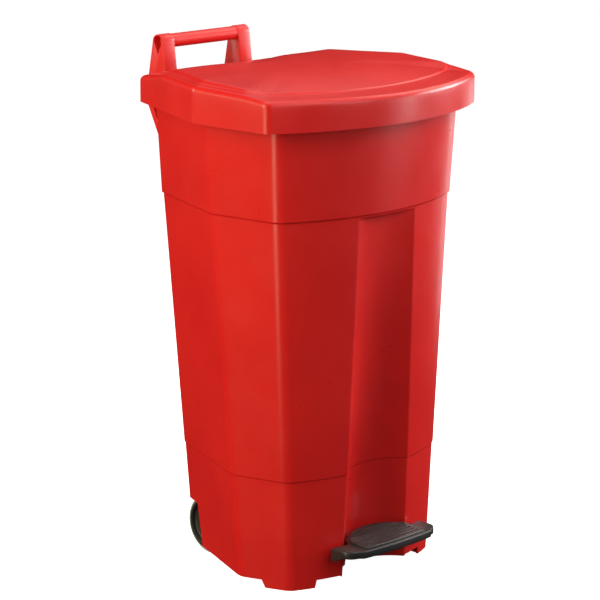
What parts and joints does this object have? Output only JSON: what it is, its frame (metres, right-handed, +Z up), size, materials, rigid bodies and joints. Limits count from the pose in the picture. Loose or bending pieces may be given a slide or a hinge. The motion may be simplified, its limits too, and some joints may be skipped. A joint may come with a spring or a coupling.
{
  "type": "pedal bin",
  "caption": "Tall tapered plastic pedal bin with a domed hinged lid, rear handle, transport wheels and a front pedal that lifts the lid by a rod.",
  "frame": {"origin": "on the floor, under the middle of the whole object's box", "axes": "+Z up, +Y to the back (handle, hinge and wheels), +X to the right seen from the front"},
  "size_m": [0.4952, 0.493, 0.845],
  "materials": {
    "red_plastic": "semi-gloss moulded polypropylene, fine grain",
    "charcoal_plastic": "satin moulded plastic",
    "grey_plastic": "satin acetal",
    "grey_tyre": "matt grey rubber tread",
    "steel": "zinc plated, lightly brushed"
  },
  "bodies": {
    "tub_body": {"tub": "red_plastic", "hinge_pin_left": "steel", "hinge_pin_right": "steel", "bracket_left": "red_plastic", "bracket_right": "red_plastic", "grip_tube": "red_plastic", "bracket_screws": "steel", "pedal_axle": "steel", "pedal_axle_clips": "steel", "guide_upper": "charcoal_plastic", "guide_lower": "charcoal_plastic", "guide_screws": "steel", "wheel_axle": "steel", "washer_left": "steel", "washer_right": "steel", "wheel_clips": "steel"},
    "lid_body": {"lid": "red_plastic", "lid_roller": "grey_plastic", "lid_roller_pin": "steel"},
    "pedal_body": {"pedal": "charcoal_plastic", "pedal_tread": "charcoal_plastic", "pedal_screws": "steel", "pedal_lever": "steel"},
    "rod_body": {"lift_rod": "steel", "rod_cap": "charcoal_plastic", "rod_shoe": "charcoal_plastic"},
    "wheel_left_body": {"wheel_left": "charcoal_plastic", "tyre_left": "grey_tyre"},
    "wheel_right_body": {"wheel_right": "charcoal_plastic", "tyre_right": "grey_tyre"}
  },
  "joints": [
    {"name": "lid_hinge", "type": "hinge", "parent": "tub_body", "child": "lid_body", "pos_m": [0, 0.1825, 0.776], "axis": [-1, 0, 0], "range_deg": [0, 72]},
    {"name": "pedal_hinge", "type": "hinge", "parent": "tub_body", "child": "pedal_body", "pos_m": [0, 0.0285, 0.07], "axis": [1, 0, 0], "range_deg": [0, 10]},
    {"name": "rod_slide", "type": "slide", "parent": "tub_body", "child": "rod_body", "axis": [0, 0, 1], "range_m": [0, 0.024]},
    {"name": "wheel_left_spin", "type": "hinge", "parent": "tub_body", "child": "wheel_left_body", "pos_m": [-0.112, 0.0705, 0.05], "axis": [1, 0, 0], "continuous": true},
    {"name": "wheel_right_spin", "type": "hinge", "parent": "tub_body", "child": "wheel_right_body", "pos_m": [0.112, 0.0705, 0.05], "axis": [1, 0, 0], "continuous": true}
  ],
  "couplings": [
    {"joint": "pedal_hinge", "follows": "lid_hinge", "ratio": 0.135},
    {"joint": "rod_slide", "follows": "lid_hinge", "m_per_rad": 0.01895}
  ]
}
